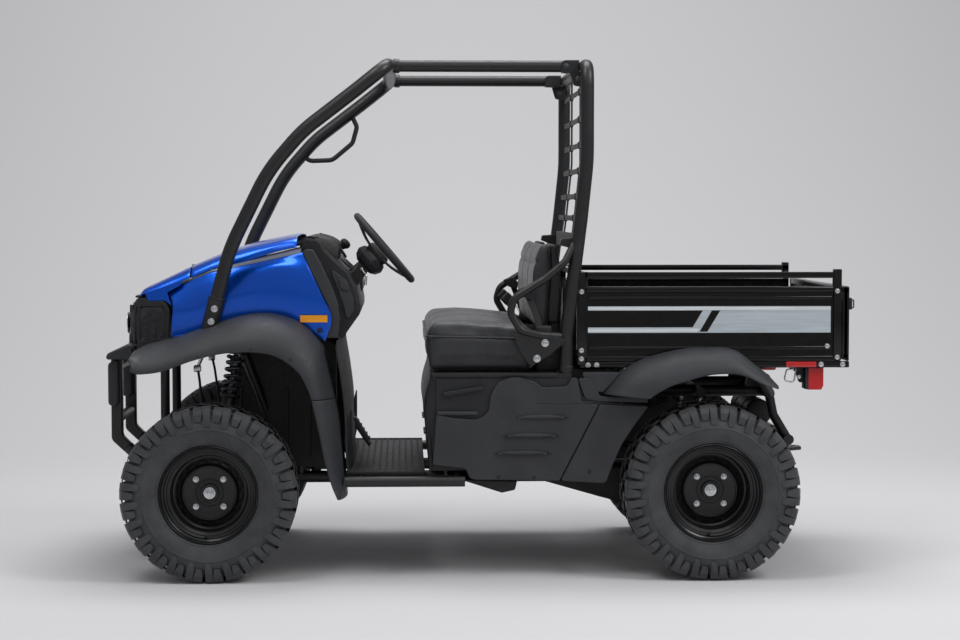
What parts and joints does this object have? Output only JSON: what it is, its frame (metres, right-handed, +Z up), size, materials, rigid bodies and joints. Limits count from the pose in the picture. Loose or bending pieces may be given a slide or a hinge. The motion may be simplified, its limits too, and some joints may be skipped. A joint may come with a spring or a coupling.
{
  "type": "side by side utility vehicle",
  "caption": "Small open utility vehicle with a bench seat, roll cage, tipping cargo bed and steered front wheels; the wheels, steering, hood, bed and tailgate move.",
  "frame": {"origin": "on the floor under the middle of the vehicle, on its centreline", "axes": "-X is the front, -Y is the driver's (left) side, +Z is up"},
  "size_m": [2.716, 1.33, 1.8538],
  "materials": {
    "frame_black": "satin black powder coat",
    "dark_plastic": "textured dark grey plastic",
    "lens": "clear lamp lens",
    "blue_panel": "glossy metallic blue",
    "seat_vinyl": "black seat vinyl",
    "grip_rubber": "soft black rubber",
    "cast_grey": "dark cast metal",
    "dark_steel": "semi-gloss black steel",
    "bed_black": "gloss black steel",
    "lamp_red": "red lamp lens",
    "rim_black": "black wheel steel",
    "tyre_rubber": "tyre rubber"
  },
  "bodies": {
    "root": {"chassis_frame": "frame_black", "controls": "grip_rubber", "dashboard": "dark_plastic", "engine": "cast_grey", "floor_pan": "dark_plastic", "front_arms": "frame_black", "front_bumper": "frame_black", "front_cowl": "dark_plastic", "front_drive": "cast_grey", "front_flares": "dark_plastic", "front_hoop": "frame_black", "front_panels": "blue_panel", "headlamps": "lens", "muffler": "dark_steel", "rear_axle": "cast_grey", "rear_flares": "dark_plastic", "rear_hoop": "frame_black", "rear_screen": "frame_black", "rear_springs": "dark_steel", "roof_rails": "frame_black", "seat_backrest": "seat_vinyl", "seat_base": "dark_plastic", "seat_cushion": "seat_vinyl", "side_covers": "dark_plastic", "steering_column": "frame_black"},
    "hood": {"hood_lid": "blue_panel"},
    "knuckle_l": {"knuckle_left": "cast_grey"},
    "knuckle_r": {"knuckle_right": "cast_grey"},
    "tie_l": {"tie_rod_left": "dark_steel"},
    "tie_r": {"tie_rod_right": "dark_steel"},
    "rack": {"steering_rack": "dark_steel"},
    "steering": {"steering_wheel": "grip_rubber"},
    "wheel_fl": {"rim_front_left": "rim_black", "tyre_front_left": "tyre_rubber"},
    "wheel_fr": {"rim_front_right": "rim_black", "tyre_front_right": "tyre_rubber"},
    "wheel_rl": {"rim_rear_left": "rim_black", "tyre_rear_left": "tyre_rubber"},
    "wheel_rr": {"rim_rear_right": "rim_black", "tyre_rear_right": "tyre_rubber"},
    "bed": {"bed_tub": "bed_black", "bed_frame": "frame_black", "bed_top_rails": "bed_black", "tail_lamps": "lamp_red"},
    "gate": {"tailgate": "bed_black"}
  },
  "joints": [
    {"name": "steer_left", "type": "hinge", "parent": "root", "child": "knuckle_l", "pos_m": [-0.94948, -0.42203, 0.312], "axis": [0.157, 0.1109, 0.9813], "range_deg": [-28, 28]},
    {"name": "steer_right", "type": "hinge", "parent": "root", "child": "knuckle_r", "pos_m": [-0.94948, 0.42203, 0.312], "axis": [0.157, -0.1109, 0.9813], "range_deg": [-29, 29]},
    {"name": "tie_rod_left_pivot", "type": "hinge", "parent": "knuckle_l", "child": "tie_l", "pos_m": [-0.8304, -0.41491, 0.375], "axis": [0.157, 0.1109, 0.9813], "range_deg": [-29, 29]},
    {"name": "tie_rod_right_pivot", "type": "hinge", "parent": "knuckle_r", "child": "tie_r", "pos_m": [-0.8304, 0.41491, 0.375], "axis": [0.157, -0.1109, 0.9813], "range_deg": [-29, 29]},
    {"name": "rack_slide", "type": "slide", "parent": "root", "child": "rack", "axis": [0, 1, 0], "range_m": [-0.055, 0.055]},
    {"name": "steering_wheel_turn", "type": "hinge", "parent": "root", "child": "steering", "pos_m": [-0.336, -0.28, 1.175], "axis": [0.7609, 0, 0.6489], "range_deg": [-385, 385]},
    {"name": "spin_front_left", "type": "hinge", "parent": "knuckle_l", "child": "wheel_fl", "pos_m": [-0.954, -0.55, 0.312], "axis": [0, 1, 0], "continuous": true},
    {"name": "spin_front_right", "type": "hinge", "parent": "knuckle_r", "child": "wheel_fr", "pos_m": [-0.954, 0.55, 0.312], "axis": [0, 1, 0], "continuous": true},
    {"name": "spin_rear_left", "type": "hinge", "parent": "root", "child": "wheel_rl", "pos_m": [0.831, -0.525, 0.312], "axis": [0, 1, 0], "continuous": true},
    {"name": "spin_rear_right", "type": "hinge", "parent": "root", "child": "wheel_rr", "pos_m": [0.831, 0.525, 0.312], "axis": [0, 1, 0], "continuous": true},
    {"name": "hood_lift", "type": "hinge", "parent": "root", "child": "hood", "pos_m": [-1.0312, 0, 1.113], "axis": [0, -1, 0], "range_deg": [0, 75]},
    {"name": "bed_tip", "type": "hinge", "parent": "root", "child": "bed", "pos_m": [1.045, 0, 0.7], "axis": [0, 1, 0], "range_deg": [0, 40]},
    {"name": "tailgate_drop", "type": "hinge", "parent": "bed", "child": "gate", "pos_m": [1.33, 0, 0.777], "axis": [0, 1, 0], "range_deg": [0, 90]}
  ],
  "couplings": [
    {"joint": "steer_right", "follows": "steer_left", "ratio": 1},
    {"joint": "tie_rod_left_pivot", "follows": "steer_left", "ratio": -1},
    {"joint": "tie_rod_right_pivot", "follows": "steer_left", "ratio": -1},
    {"joint": "rack_slide", "follows": "steer_left", "m_per_rad": 0.1045},
    {"joint": "steering_wheel_turn", "follows": "steer_left", "ratio": 13.5}
  ]
}
